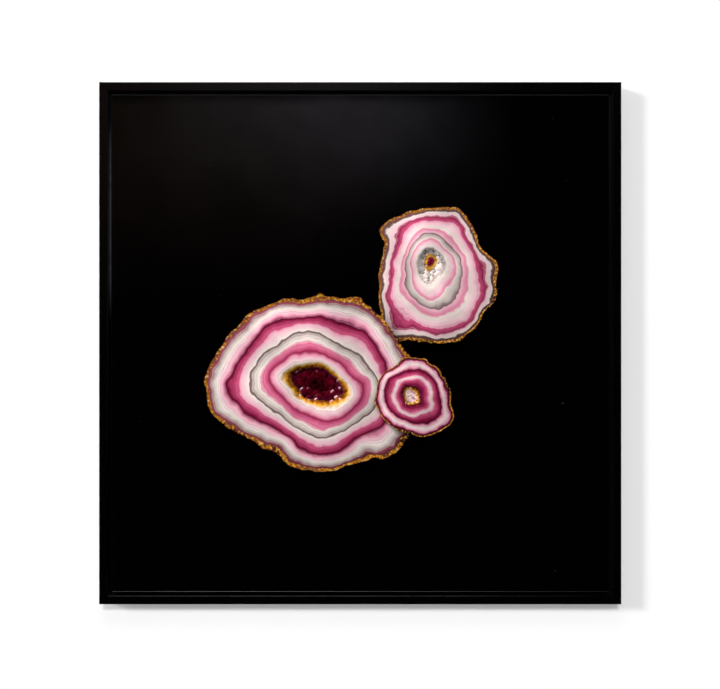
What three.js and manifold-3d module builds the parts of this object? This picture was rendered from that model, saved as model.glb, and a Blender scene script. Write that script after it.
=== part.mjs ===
// A framed wall picture: a square glossy print on aluminium composite board, floating in a black timber
// frame with an open shadow gap all round, screwed to the frame's ledge from behind and hung on two D-rings.
//
// Millimetres. +X right and +Z up as the picture is seen, +Y into the wall. The origin is the centre of the
// picture on the wall plane, so the whole object lies at y <= 0.

import * as THREE from "three";
import { mergeVertices } from "three/addons/utils/BufferGeometryUtils.js";
import Module from "manifold-3d";

// ---- Frame ----
const FRAME_SIDE = 840; // outer width and height
const FACE_WIDTH = 14; // front face of a rail
const RAIL_DEPTH = 38; // timber, front to back
const ARRIS_RADIUS = 1.25; // rounding of the two front edges
const LEDGE_REACH = 26; // how far the ledge stands out behind the picture
const LEDGE_THICKNESS = 8;
const HANGER_RECESS = 7; // from a rail's back face down to its ledge

// ---- Picture ----
const SHADOW_GAP = 6; // open gap between rail and picture
const ACRYLIC_THICKNESS = 3;
const PRINT_THICKNESS = 0.25;
const SKIN_THICKNESS = 0.25; // aluminium, front and back of the board
const CORE_THICKNESS = 2.5;

// ---- Subframe behind the picture ----
const BATTEN_WIDTH = 30;
const BATTEN_DEPTH = 13;
const BATTEN_SETBACK = 4; // from the picture's edge

// ---- Fasteners ----
const FIT_GAP = 0.3; // clearance round a screw or wedge in its hole
const OVERRUN = 1; // how far a cutter stands out of the face that it cuts
const FRAME_SCREW = { shank: 1.9, head: 4, headHeight: 2.5, length: 18, tip: 3 };
const FRAME_SCREW_ALONG = 210; // either side of a rail's middle, and well below the hangers
const FRAME_SCREW_INSET = 32; // from the frame's outer edge
const SUBFRAME_SCREW = { shank: 2, head: 4.2, headHeight: 2.7, length: 52, tip: 4 };
const HANGER_SCREW = { shank: 1.5, head: 3.5, headHeight: 2, length: 8, tip: 2 };
// A pan head from its rim to its crown, as shares of its radius and height.
const PAN_HEAD = [
  [1, 0],
  [1, 0.35],
  [0.8, 0.8],
  [0.4, 1],
  [0, 1],
];

// Mitre wedges: L-shaped in plan, driven in from the back, one in the wall and one in the ledge.
const WEDGE_THICKNESS = 0.8;
const OUTER_WEDGE = { inset: 3.5, wing: 7.5, depth: 10 };
const INNER_WEDGE = { inset: 20, wing: 8, depth: 6 };

// ---- Hangers ----
const STRAP_WIDTH = 12;
const STRAP_THICKNESS = 1.25;
const STRAP_LENGTH = 52; // below the ring's axis
const STRAP_SCREW_DROPS = [27, 43]; // below the ring's axis
const KNUCKLE_END_ANGLE = -65; // degrees, where the curled strap ends
const WIRE_RADIUS = 1.5;
const WIRE_STEPS = 44; // along the bent wire
const RING_CLEARANCE = 0.25; // between the wire and its knuckle
const RING_HALF_WIDTH = 9.5; // to the wire's centre
const RING_CORNER_RADIUS = 3;
const RING_SEAM = 0.4; // between the wire's two ends, inside the knuckle
const HANGER_INSET = 27; // from the frame's outer edge
const HANGER_HEIGHT = 290; // of the ring's axis above the middle

// ---- Wall pads ----
const PAD_THICKNESS = 2;
const PAD_RADIUS = 5;
const PAD_FROM_CORNER = 40;

// ---- Fineness ----
const TURNED_SEGMENTS = 16; // round a screw
const PAD_SEGMENTS = 28; // round a wall pad
const ARC_DETAIL = 3; // half the number of flats on an arc of an outline
const KNUCKLE_DETAIL = 12;
const WIRE_DETAIL = 6;

// ---- Places worked out from the sizes above ----
const HALF_FRAME = FRAME_SIDE / 2;
const PICTURE_SIDE = FRAME_SIDE - 2 * (FACE_WIDTH + SHADOW_GAP);
const LEDGE_EDGE = FACE_WIDTH + LEDGE_REACH; // from the outer edge to the ledge's inner edge
const RAIL_BACK = -PAD_THICKNESS;
const RAIL_FRONT = RAIL_BACK - RAIL_DEPTH;
const LEDGE_BACK = RAIL_BACK - HANGER_RECESS;
const LEDGE_FRONT = LEDGE_BACK - LEDGE_THICKNESS;
const BATTEN_FRONT = LEDGE_FRONT - BATTEN_DEPTH;
const BATTEN_HALF_SPAN = PICTURE_SIDE / 2 - BATTEN_SETBACK; // to a batten's outer side
const KNUCKLE_INNER = WIRE_RADIUS + RING_CLEARANCE;
const KNUCKLE_OUTER = KNUCKLE_INNER + STRAP_THICKNESS;
const RING_AXIS_Y = LEDGE_BACK + KNUCKLE_OUTER;
const STRAP_FACE = LEDGE_BACK + STRAP_THICKNESS;

const SIDES = [
  { name: "left", sign: -1 },
  { name: "right", sign: 1 },
];
const CORNERS = [
  { name: "top_right", turn: 0, x: 1, z: 1 },
  { name: "bottom_right", turn: Math.PI / 2, x: 1, z: -1 },
  { name: "bottom_left", turn: Math.PI, x: -1, z: -1 },
  { name: "top_left", turn: -Math.PI / 2, x: -1, z: 1 },
];

const FINISHES = {
  blackTimber: { color: 0x120f0d, roughness: 0.45, metalness: 0 },
  acrylic: { color: 0xdfe6e8, roughness: 0.03, metalness: 0, transparent: true, opacity: 0.18 },
  print: { color: 0x1a070d, roughness: 0.5, metalness: 0 },
  aluminium: { color: 0xb9bcc0, roughness: 0.38, metalness: 1 },
  polymer: { color: 0x26272a, roughness: 0.6, metalness: 0 },
  rawTimber: { color: 0xc9a878, roughness: 0.7, metalness: 0 },
  zincSteel: { color: 0xa9adb0, roughness: 0.35, metalness: 1 },
  felt: { color: 0x2b2a2a, roughness: 0.95, metalness: 0 },
};

const wasm = await Module();
wasm.setup();

// ---- Solids and booleans ----

/** A closed geometry as a solid that can be joined and cut. */
function solid(geometry) {
  const bare = geometry.clone();
  bare.deleteAttribute("normal");
  bare.deleteAttribute("uv");
  const merged = mergeVertices(bare);
  return new wasm.Manifold(
    new wasm.Mesh({
      numProp: 3,
      vertProperties: merged.attributes.position.array,
      triVerts: new Uint32Array(merged.index.array),
    }),
  );
}

/** A solid back as a geometry with flat faces. */
function geometryOf(body) {
  const { numProp, vertProperties, triVerts } = body.getMesh();
  const positions = new Float32Array(triVerts.length * 3);
  triVerts.forEach((vertex, i) => {
    positions.set(vertProperties.subarray(vertex * numProp, vertex * numProp + 3), i * 3);
  });
  const geometry = new THREE.BufferGeometry();
  geometry.setAttribute("position", new THREE.BufferAttribute(positions, 3));
  geometry.computeVertexNormals();
  return geometry;
}

function cut(geometry, cutters) {
  return geometryOf(cutters.reduce((body, cutter) => body.subtract(solid(cutter)), solid(geometry)));
}

function piece(name, geometry, finish) {
  const mesh = new THREE.Mesh(geometry, new THREE.MeshStandardMaterial(FINISHES[finish]));
  mesh.name = name;
  return mesh;
}

/** An outline drawn in X and Z, made `depth` thick from y = back towards the front. */
function plate(shape, back, depth) {
  const geometry = new THREE.ExtrudeGeometry(shape, { depth, bevelEnabled: false });
  return geometry.rotateX(Math.PI / 2).translate(0, back, 0);
}

/** A turned solid on the Y axis from (radius, y) pairs that run from the lower pole to the upper one. */
function turned(profile) {
  const points = profile.map(([radius, y]) => new THREE.Vector2(radius, y));
  return new THREE.LatheGeometry(points, TURNED_SEGMENTS);
}

// ---- Fasteners ----

/** A countersunk screw on the Y axis, with the top of its head at y = 0 and its tip below. */
function countersunkScrew({ shank, head, headHeight, length, tip }) {
  return turned([
    [0, -length],
    [shank, tip - length],
    [shank, -headHeight],
    [head, 0],
    [0, 0],
  ]);
}

/** The hole that such a screw sits in, open at the back. */
function countersunkHole(screw) {
  const { shank, head, headHeight, length, tip } = screw;
  return turned([
    [0, -length - FIT_GAP],
    [shank + FIT_GAP, tip - length],
    [shank + FIT_GAP, -headHeight],
    [head + FIT_GAP, 0],
    [head + FIT_GAP, OVERRUN],
    [0, OVERRUN],
  ]);
}

/** A pan-headed screw on the Y axis, with the underside of its head at y = 0. */
function panScrew({ shank, head, headHeight, length, tip }) {
  return turned([
    [0, -length],
    [shank, tip - length],
    [shank, 0],
    ...PAN_HEAD.map(([radius, height]) => [radius * head, height * headHeight]),
  ]);
}

function pilotHole({ shank, length }) {
  return turned([
    [0, -length - FIT_GAP],
    [shank + FIT_GAP, -length - FIT_GAP],
    [shank + FIT_GAP, OVERRUN],
    [0, OVERRUN],
  ]);
}

/** The plan of a mitre wedge in the top right corner, grown by `grow` on every side. */
function wedgeOutline({ inset, wing }, grow) {
  const corner = HALF_FRAME - inset + grow;
  const inner = HALF_FRAME - inset - WEDGE_THICKNESS - grow;
  const end = HALF_FRAME - inset - wing - grow;
  return new THREE.Shape([
    new THREE.Vector2(corner, corner),
    new THREE.Vector2(end, corner),
    new THREE.Vector2(end, inner),
    new THREE.Vector2(inner, inner),
    new THREE.Vector2(inner, end),
    new THREE.Vector2(corner, end),
  ]);
}

function wedge(size, back) {
  return plate(wedgeOutline(size, 0), back - FIT_GAP, size.depth);
}

function wedgeSlot(size, back) {
  return plate(wedgeOutline(size, FIT_GAP), back + OVERRUN, size.depth + OVERRUN + 2 * FIT_GAP);
}

// ---- Frame rails ----

/** Section of a rail: x runs from the frame's outer edge inwards, y from the wall to the front. */
function railSection() {
  const r = ARRIS_RADIUS;
  const section = new THREE.Shape();
  section.moveTo(0, RAIL_BACK);
  section.lineTo(0, RAIL_FRONT + r);
  section.absarc(r, RAIL_FRONT + r, r, Math.PI, 1.5 * Math.PI, false);
  section.lineTo(FACE_WIDTH - r, RAIL_FRONT);
  section.absarc(FACE_WIDTH - r, RAIL_FRONT + r, r, 1.5 * Math.PI, 2 * Math.PI, false);
  section.lineTo(FACE_WIDTH, LEDGE_FRONT);
  section.lineTo(LEDGE_EDGE, LEDGE_FRONT);
  section.lineTo(LEDGE_EDGE, LEDGE_BACK);
  section.lineTo(FACE_WIDTH, LEDGE_BACK);
  section.lineTo(FACE_WIDTH, RAIL_BACK);
  section.closePath();
  return section;
}

/** The top rail, lying along X, with both ends mitred: each point ends as far out as it lies up. */
function mitredRail() {
  const geometry = new THREE.ExtrudeGeometry(railSection(), {
    depth: 1,
    bevelEnabled: false,
    curveSegments: ARC_DETAIL,
  });
  const position = geometry.attributes.position;
  for (let i = 0; i < position.count; i++) {
    const reach = HALF_FRAME - position.getX(i);
    const end = position.getZ(i) > 0 ? 1 : -1;
    position.setXYZ(i, end * reach, position.getY(i), reach);
  }
  return geometry;
}

/** The middle of each frame screw's head on a rail's ledge, for the rail that is turned by `turn`. */
function frameScrewPlaces(turn) {
  const places = [-1, 1].map(
    (end) => new THREE.Vector3(end * FRAME_SCREW_ALONG, LEDGE_BACK, HALF_FRAME - FRAME_SCREW_INSET),
  );
  return places.map((place) => place.applyAxisAngle(new THREE.Vector3(0, 1, 0), turn));
}

function frameScrewHoles(turn) {
  return frameScrewPlaces(turn).map(({ x, y, z }) => countersunkHole(FRAME_SCREW).translate(x, y, z));
}

/** Slots for the mitre wedges at both ends of the top rail. */
function wedgeSlots() {
  const slots = [wedgeSlot(OUTER_WEDGE, RAIL_BACK), wedgeSlot(INNER_WEDGE, LEDGE_BACK)];
  return [...slots, ...slots.map((slot) => slot.clone().rotateY(-Math.PI / 2))];
}

/** Pilot holes for a hanger's screws, in the top rail's place before it is turned to its side. */
function hangerPilots(sign) {
  return STRAP_SCREW_DROPS.map((drop) =>
    pilotHole(HANGER_SCREW).translate(
      -sign * (HANGER_HEIGHT - drop),
      LEDGE_BACK,
      HALF_FRAME - HANGER_INSET,
    ),
  );
}

function rails() {
  const places = [
    { name: "rail_top", turn: 0, extra: [] },
    { name: "rail_bottom", turn: Math.PI, extra: [] },
    { name: "rail_left", turn: -Math.PI / 2, extra: hangerPilots(-1) },
    { name: "rail_right", turn: Math.PI / 2, extra: hangerPilots(1) },
  ];
  const group = new THREE.Group();
  for (const { name, turn, extra } of places) {
    const cutters = [...frameScrewHoles(0), ...wedgeSlots(), ...extra];
    const rail = piece(name, cut(mitredRail(), cutters), "blackTimber");
    rail.rotation.y = turn;
    group.add(rail);
  }
  return group;
}

function mitreWedges() {
  const group = new THREE.Group();
  for (const { name, turn } of CORNERS) {
    const corner = new THREE.Group();
    corner.rotation.y = turn;
    corner.add(
      piece(`v_nail_outer_${name}`, wedge(OUTER_WEDGE, RAIL_BACK), "zincSteel"),
      piece(`v_nail_inner_${name}`, wedge(INNER_WEDGE, LEDGE_BACK), "zincSteel"),
    );
    group.add(corner);
  }
  return group;
}

// ---- Picture ----

/** The bonded layers of the picture, from the front to the back. */
function picture() {
  const layers = [
    { name: "acrylic_face", thickness: ACRYLIC_THICKNESS, finish: "acrylic" },
    { name: "print_sheet", thickness: PRINT_THICKNESS, finish: "print" },
    { name: "panel_front_skin", thickness: SKIN_THICKNESS, finish: "aluminium" },
    { name: "panel_core", thickness: CORE_THICKNESS, finish: "polymer" },
    { name: "panel_back_skin", thickness: SKIN_THICKNESS, finish: "aluminium" },
  ];
  const group = new THREE.Group();
  let front = BATTEN_FRONT - layers.reduce((total, { thickness }) => total + thickness, 0);
  for (const { name, thickness, finish } of layers) {
    const layer = piece(name, new THREE.BoxGeometry(PICTURE_SIDE, thickness, PICTURE_SIDE), finish);
    layer.position.y = front + thickness / 2;
    front += thickness;
    group.add(layer);
  }
  return group;
}

// ---- Subframe ----

/** A screw or hole on the Y axis, stood on Z at a corner of the subframe with its head outwards. */
function atSubframeCorner(geometry, { x, z }) {
  const middle = BATTEN_HALF_SPAN - BATTEN_WIDTH / 2;
  return geometry
    .rotateX((z * Math.PI) / 2)
    .translate(x * middle, BATTEN_FRONT + BATTEN_DEPTH / 2, z * BATTEN_HALF_SPAN);
}

/** Four battens, the upright ones between the level ones. */
function battens() {
  const long = 2 * BATTEN_HALF_SPAN;
  const short = long - 2 * BATTEN_WIDTH;
  const middle = BATTEN_HALF_SPAN - BATTEN_WIDTH / 2;
  const places = [
    { name: "top", turn: 0, x: 0, z: middle, width: long, height: BATTEN_WIDTH },
    { name: "right", turn: Math.PI / 2, x: middle, z: 0, width: BATTEN_WIDTH, height: short },
    { name: "bottom", turn: Math.PI, x: 0, z: -middle, width: long, height: BATTEN_WIDTH },
    { name: "left", turn: -Math.PI / 2, x: -middle, z: 0, width: BATTEN_WIDTH, height: short },
  ];
  const cornerHoles = CORNERS.map((corner) => atSubframeCorner(countersunkHole(SUBFRAME_SCREW), corner));
  return places.map(({ name, turn, x, z, width, height }) => {
    const blank = new THREE.BoxGeometry(width, BATTEN_DEPTH, height);
    blank.translate(x, BATTEN_FRONT + BATTEN_DEPTH / 2, z);
    return piece(`subframe_${name}`, cut(blank, [...cornerHoles, ...frameScrewHoles(turn)]), "rawTimber");
  });
}

/** Two screws in each rail, through its ledge and into the batten in front of it. */
function frameScrews() {
  const turns = { top: 0, right: Math.PI / 2, bottom: Math.PI, left: -Math.PI / 2 };
  return Object.entries(turns).flatMap(([name, turn]) =>
    frameScrewPlaces(turn).map((place, i) => {
      const screw = piece(`frame_screw_${name}_${i + 1}`, countersunkScrew(FRAME_SCREW), "zincSteel");
      screw.position.copy(place);
      return screw;
    }),
  );
}

function subframe() {
  const cornerScrews = CORNERS.map((corner) => {
    const geometry = atSubframeCorner(countersunkScrew(SUBFRAME_SCREW), corner);
    return piece(`subframe_screw_${corner.name}`, geometry, "zincSteel");
  });
  return new THREE.Group().add(...battens(), ...frameScrews(), ...cornerScrews);
}

// ---- Hangers, each drawn round its ring's axis ----

/** A strap of steel strip, curled over at the top into the knuckle that holds the ring. */
function hangerStrap() {
  const back = -KNUCKLE_OUTER;
  const face = -KNUCKLE_INNER;
  const end = THREE.MathUtils.degToRad(KNUCKLE_END_ANGLE);
  const side = new THREE.Shape();
  side.moveTo(back, -STRAP_LENGTH);
  side.lineTo(face, -STRAP_LENGTH);
  side.lineTo(face, 0);
  side.absarc(0, 0, KNUCKLE_INNER, Math.PI, end, true);
  side.lineTo(KNUCKLE_OUTER * Math.cos(end), KNUCKLE_OUTER * Math.sin(end));
  side.absarc(0, 0, KNUCKLE_OUTER, end, Math.PI, false);
  side.closePath();
  const strip = new THREE.ExtrudeGeometry(side, {
    depth: STRAP_WIDTH,
    bevelEnabled: false,
    curveSegments: KNUCKLE_DETAIL,
  });
  // The outline's x and y become y and z, and its thickness lies along x.
  strip.rotateY(Math.PI / 2).rotateX(Math.PI / 2).translate(-STRAP_WIDTH / 2, 0, 0);

  // The strap seen from the wall: its lower end is round, and its upper end runs past the knuckle.
  const half = STRAP_WIDTH / 2;
  const top = KNUCKLE_OUTER + OVERRUN;
  const plan = new THREE.Shape();
  plan.moveTo(-half, top);
  plan.lineTo(-half, half - STRAP_LENGTH);
  plan.absarc(0, half - STRAP_LENGTH, half, Math.PI, 2 * Math.PI, false);
  plan.lineTo(half, top);
  plan.closePath();
  for (const drop of STRAP_SCREW_DROPS) {
    const hole = new THREE.Path();
    hole.absarc(0, -drop, HANGER_SCREW.shank + FIT_GAP, 0, 2 * Math.PI, true);
    plan.holes.push(hole);
  }
  const outline = plate(plan, top, 2 * top);
  return geometryOf(solid(strip).intersect(solid(outline)));
}

/** A bent wire ring that hangs down from the axis, its two ends nearly meeting inside the knuckle. */
function dRing() {
  const wide = RING_HALF_WIDTH;
  const r = RING_CORNER_RADIUS;
  const loop = new THREE.Path();
  loop.moveTo(RING_SEAM / 2, 0);
  loop.lineTo(wide - r, 0);
  loop.absarc(wide - r, -r, r, Math.PI / 2, 0, true);
  loop.lineTo(wide, -wide);
  loop.absarc(0, -wide, wide, 0, -Math.PI, true);
  loop.lineTo(-wide, -r);
  loop.absarc(r - wide, -r, r, Math.PI, Math.PI / 2, true);
  loop.lineTo(-RING_SEAM / 2, 0);
  const points = loop.getSpacedPoints(WIRE_STEPS).map(({ x, y }) => new THREE.Vector3(x, 0, y));
  const section = new THREE.Shape();
  section.absarc(0, 0, WIRE_RADIUS, 0, 2 * Math.PI, false);
  return new THREE.ExtrudeGeometry(section, {
    steps: WIRE_STEPS,
    curveSegments: WIRE_DETAIL,
    extrudePath: new THREE.CatmullRomCurve3(points),
  });
}

function hangers() {
  const group = new THREE.Group();
  for (const { name, sign } of SIDES) {
    const hanger = new THREE.Group();
    hanger.position.set(sign * (HALF_FRAME - HANGER_INSET), RING_AXIS_Y, HANGER_HEIGHT);
    hanger.add(piece(`hanger_strap_${name}`, hangerStrap(), "zincSteel"));
    hanger.add(piece(`d_ring_${name}`, dRing(), "zincSteel"));
    STRAP_SCREW_DROPS.forEach((drop, i) => {
      const screw = piece(`hanger_screw_${name}_${i + 1}`, panScrew(HANGER_SCREW), "zincSteel");
      screw.position.set(0, STRAP_FACE - RING_AXIS_Y, -drop);
      hanger.add(screw);
    });
    group.add(hanger);
  }
  return group;
}

// ---- Wall pads ----

function wallPads() {
  const group = new THREE.Group();
  for (const { name, x, z } of CORNERS) {
    const disc = new THREE.CylinderGeometry(PAD_RADIUS, PAD_RADIUS, PAD_THICKNESS, PAD_SEGMENTS);
    const pad = piece(`wall_pad_${name}`, disc, "felt");
    pad.position.set(
      x * (HALF_FRAME - PAD_FROM_CORNER),
      -PAD_THICKNESS / 2,
      z * (HALF_FRAME - FACE_WIDTH / 2),
    );
    group.add(pad);
  }
  return group;
}

const framedPicture = new THREE.Group();
framedPicture.add(rails(), mitreWedges(), picture(), subframe(), hangers(), wallPads());

export default framedPicture;
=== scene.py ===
"""Looks of a square framed picture: a glossy face-mounted print that floats in a black timber frame.

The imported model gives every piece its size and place, in metres: +X right and +Z up as the picture is
seen, +Y into the wall, and the origin at the middle of the picture on the wall plane. The script finishes
the timber, the clear face, the print, the board and the fittings, and lights them on a pale wall.
"""

import logging
import math
from collections.abc import Mapping, Sequence
from dataclasses import dataclass
from enum import Enum
from functools import cached_property, reduce
from itertools import pairwise

import bmesh
import bpy
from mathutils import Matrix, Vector

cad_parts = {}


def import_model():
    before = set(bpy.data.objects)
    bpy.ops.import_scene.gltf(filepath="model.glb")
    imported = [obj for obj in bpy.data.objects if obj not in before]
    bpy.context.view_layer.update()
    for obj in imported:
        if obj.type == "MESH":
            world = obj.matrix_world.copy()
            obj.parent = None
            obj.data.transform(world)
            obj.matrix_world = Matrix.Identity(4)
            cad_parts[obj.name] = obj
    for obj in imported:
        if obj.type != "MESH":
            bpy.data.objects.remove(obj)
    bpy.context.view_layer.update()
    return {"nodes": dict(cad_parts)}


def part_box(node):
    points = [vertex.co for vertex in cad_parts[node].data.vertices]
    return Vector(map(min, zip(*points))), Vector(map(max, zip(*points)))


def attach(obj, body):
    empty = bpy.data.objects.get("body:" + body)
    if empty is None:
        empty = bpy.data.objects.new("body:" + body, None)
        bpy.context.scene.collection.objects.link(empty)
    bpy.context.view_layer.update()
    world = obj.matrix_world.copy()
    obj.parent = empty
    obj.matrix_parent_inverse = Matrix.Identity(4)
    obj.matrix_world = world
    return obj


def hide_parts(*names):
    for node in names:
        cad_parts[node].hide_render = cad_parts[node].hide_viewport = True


LOG = logging.getLogger("framed_picture")

MM = 0.001
SIDES = ("left", "right")
RAILS = ("top", "right", "bottom", "left")
CORNERS = ("top_right", "bottom_right", "bottom_left", "top_left")

# The range that most of a soft noise keeps to, and the ends of a share that falls.
NOISE = (0.3, 0.7)
FALL = (1.0, 0.0)

Material = bpy.types.Material
Mesh = bpy.types.Mesh
Object = bpy.types.Object
Socket = bpy.types.NodeSocket
Colour = tuple[float, float, float]
Pair = tuple[float, float]
Point = tuple[float, float, float]
Stops = tuple[tuple[float, Colour], ...]
Value = float | Sequence[float] | Socket | Material
Inputs = Mapping[str | int, Value]


class Grain(Enum):
    """Which way the grain of a timber runs."""

    LEVEL = "level"
    UPRIGHT = "upright"

    def turned(self, sizes: Point) -> Point:
        """Turns the sizes of a pattern in level timber to this grain, and returns them."""
        return sizes if self is Grain.LEVEL else sizes[::-1]


class Head(Enum):
    """The head of a screw, in steps up from the shank, the first as wide as the head.

    A step is (share of the head's radius, rise as a share of the head's height).
    """

    COUNTERSUNK = ((1.0, 0.9),)
    PAN = ((1.0, 0.001), (1.0, 0.35), (0.8, 0.45), (0.4, 0.2))


class Facing(Enum):
    """Which way the heads of screws face."""

    WALL = "towards the wall"
    OUTWARD = "up in the upper half, down in the lower half"


class SheetFace(Enum):
    """A kind of face on the clear sheet, with the number of its material."""

    FRONT = 0
    POLISHED = 1
    SAWN = 2
    SCRAPED = 3
    BACK = 4


def linear(code: str) -> Colour:
    """Turns a screen colour into the linear light that shaders take.

    Args:
        code: six hexadecimal digits, two for each of red, green and blue.

    Returns:
        Red, green and blue from 0 to 1.
    """
    shares = [int(code[i : i + 2], 16) / 255 for i in (0, 2, 4)]
    red, green, blue = (s / 12.92 if s <= 0.04045 else ((s + 0.055) / 1.055) ** 2.4 for s in shares)
    return red, green, blue


# ---- Node trees ----


class NodeWriter:
    """Writes nodes into a tree, one call for each node."""

    def __init__(self, tree: bpy.types.NodeTree) -> None:
        """Clears the tree that it writes into."""
        self.tree = tree
        self.tree.nodes.clear()

    def node(self, kind: str, inputs: Inputs | None = None, **settings: object) -> bpy.types.Node:
        """Adds a node.

        Args:
            kind: the node's type.
            inputs: what goes into its sockets, by name or number: a socket to link, or a value.
            settings: the node's own properties.

        Returns:
            The new node.
        """
        made = self.tree.nodes.new(kind)
        for name, value in settings.items():
            setattr(made, name, value)
        for key, value in (inputs or {}).items():
            self.feed(made.inputs[key], value)
        return made

    def out(self, kind: str, inputs: Inputs | None = None, **settings: object) -> Socket:
        """Adds a node as node() does, and returns its first output."""
        return self.node(kind, inputs, **settings).outputs[0]

    def feed(self, socket: Socket, value: Value) -> None:
        """Links a socket to another one, or sets its value.

        Args:
            socket: the input socket.
            value: an output socket, or a plain value.
        """
        if isinstance(value, Socket):
            self.tree.links.new(value, socket)
        elif socket.type == "RGBA":
            socket.default_value = (*value, 1.0)
        else:
            socket.default_value = value

    def math(self, operation: str, a: Value, b: Value = 0.0) -> Socket:
        """Adds a Math node for one or two numbers, and returns its result."""
        return self.out("ShaderNodeMath", {0: a, 1: b}, operation=operation)

    def times(self, *factors: Value) -> Socket:
        """Multiplies numbers from left to right, and returns the product."""
        return reduce(lambda a, b: self.math("MULTIPLY", a, b), factors)

    def plus(self, *terms: Value) -> Socket:
        """Adds numbers from left to right, and returns the sum."""
        return reduce(lambda a, b: self.math("ADD", a, b), terms)

    def minus(self, a: Value, b: Value) -> Socket:
        """Takes a number from another, and returns the difference."""
        return self.math("SUBTRACT", a, b)

    def vector(self, operation: str, a: Value, b: Value = (0.0, 0.0, 0.0)) -> Socket:
        """Adds a Vector Math node, and returns its result, a number for LENGTH and DOT_PRODUCT."""
        made = self.node("ShaderNodeVectorMath", {0: a, 1: b}, operation=operation)
        return made.outputs["Value" if operation in ("LENGTH", "DOT_PRODUCT") else "Vector"]

    def scaled(self, vector: Value, factor: Value) -> Socket:
        """Multiplies a vector or a colour by a number, and returns the result."""
        return self.out("ShaderNodeVectorMath", {0: vector, "Scale": factor}, operation="SCALE")

    def parts(self, vector: Value) -> Mapping[str, Socket]:
        """Splits a vector, and returns its numbers by the names X, Y and Z."""
        return self.node("ShaderNodeSeparateXYZ", {0: vector}).outputs

    def joined(self, x: Value = 0.0, y: Value = 0.0, z: Value = 0.0) -> Socket:
        """Joins numbers into a vector, and returns it."""
        return self.out("ShaderNodeCombineXYZ", {"X": x, "Y": y, "Z": z})


class ShaderWriter(NodeWriter):
    """Writes a procedural material."""

    def __init__(self, name: str) -> None:
        """Makes the material.

        Args:
            name: the material's name.
        """
        self.material = bpy.data.materials.new(name)
        self.material.use_nodes = True
        super().__init__(self.material.node_tree)

    def place(self) -> Socket:
        """Returns the point's place in the shared frame, in metres."""
        return self.node("ShaderNodeTexCoord").outputs["Object"]

    def noise(
        self,
        place: Value,
        scale: float = 1.0,
        detail: float = 2.0,
        roughness: float = 0.5,
        coloured: bool = False,
    ) -> Socket:
        """Adds soft noise.

        Args:
            place: where to read it.
            scale: how many lumps there are to a unit.
            detail: the number of finer layers.
            roughness: how strong those are.
            coloured: whether to return three numbers in place of one.

        Returns:
            The noise, from 0 to 1.
        """
        inputs = {"Vector": place, "Scale": scale, "Detail": detail, "Roughness": roughness}
        made = self.node("ShaderNodeTexNoise", inputs, noise_dimensions="3D")
        return made.outputs["Color" if coloured else 0]

    def lumps(self, place: Value, sizes: Point, detail: float, roughness: float = 0.5) -> Socket:
        """Adds soft noise with long or flat lumps.

        Args:
            place: where to read it.
            sizes: how big the lumps are.
            detail: the number of finer layers.
            roughness: how strong those are.

        Returns:
            The noise, from 0 to 1.
        """
        scale = tuple(1 / size for size in sizes)
        stretched = self.out("ShaderNodeMapping", {"Vector": place, "Scale": scale})
        return self.noise(stretched, detail=detail, roughness=roughness)

    def drift(self, place: Value, scale: float, detail: float, reach: float) -> Socket:
        """Adds a noisy offset, each of whose parts ranges over reach about zero, and returns it."""
        colour = self.noise(place, scale, detail, coloured=True)
        return self.scaled(self.vector("SUBTRACT", colour, (0.5, 0.5, 0.5)), reach)

    def layers(self, level: Value, scale: float, detail: float, seed: float) -> Socket:
        """Adds noise along a number, which makes bands of uneven width, and returns it, from 0 to 1."""
        inputs = {"W": self.plus(level, seed), "Scale": scale, "Detail": detail, "Roughness": 0.7}
        return self.out("ShaderNodeTexNoise", inputs, noise_dimensions="1D")

    def span(
        self, value: Value, low: float, high: float, to: Pair = (0.0, 1.0), soft: bool = False
    ) -> Socket:
        """Spreads the range from low to high over another range, and keeps to that.

        Args:
            value: the number.
            low: where the range starts.
            high: where it ends.
            to: the range that it becomes.
            soft: whether it starts and ends smoothly.

        Returns:
            The new number.
        """
        inputs = {"Value": value, "From Min": low, "From Max": high, "To Min": to[0], "To Max": to[1]}
        kind = "SMOOTHSTEP" if soft else "LINEAR"
        return self.out("ShaderNodeMapRange", inputs, interpolation_type=kind)

    def ramp(self, level: Value, stops: Stops) -> Socket:
        """Adds a run of colours.

        Args:
            level: where in the run to read, from 0 to 1.
            stops: each colour with its place in the run, in order.

        Returns:
            The colour.
        """
        made = self.node("ShaderNodeValToRGB", {"Fac": level})
        elements = made.color_ramp.elements
        while len(elements) < len(stops):
            elements.new(1.0)
        for element, (position, colour) in zip(elements, stops, strict=True):
            element.position = position
            element.color = (*colour, 1.0)
        return made.outputs["Color"]

    def mix(self, share: Value, a: Value, b: Value) -> Socket:
        """Mixes two colours, with the given share of the second, and returns the result."""
        return self.node("ShaderNodeMix", {"Factor": share, 6: a, 7: b}, data_type="RGBA").outputs[2]

    def bump(self, height: Value, depth: float, strength: float) -> Socket:
        """Adds relief, with a height of 1 as deep as depth, and returns the normal."""
        return self.out("ShaderNodeBump", {"Height": height, "Distance": depth, "Strength": strength})

    def bsdf(self, kind: str, **inputs: Value) -> Socket:
        """Adds a shader, with _ for the spaces in its sockets' names, and returns it."""
        named = {name.replace("_", " "): value for name, value in inputs.items()}
        return self.out(f"ShaderNodeBsdf{kind}", named)

    def blend(self, share: Value, a: Socket, b: Socket) -> Socket:
        """Mixes two shaders, with the given share of the second, and returns the result."""
        return self.out("ShaderNodeMixShader", {0: share, 1: a, 2: b})

    def finish(self, shader: Socket) -> Material:
        """Ends the tree with its shader, and returns the material."""
        self.node("ShaderNodeOutputMaterial", {"Surface": shader})
        return self.material


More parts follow.
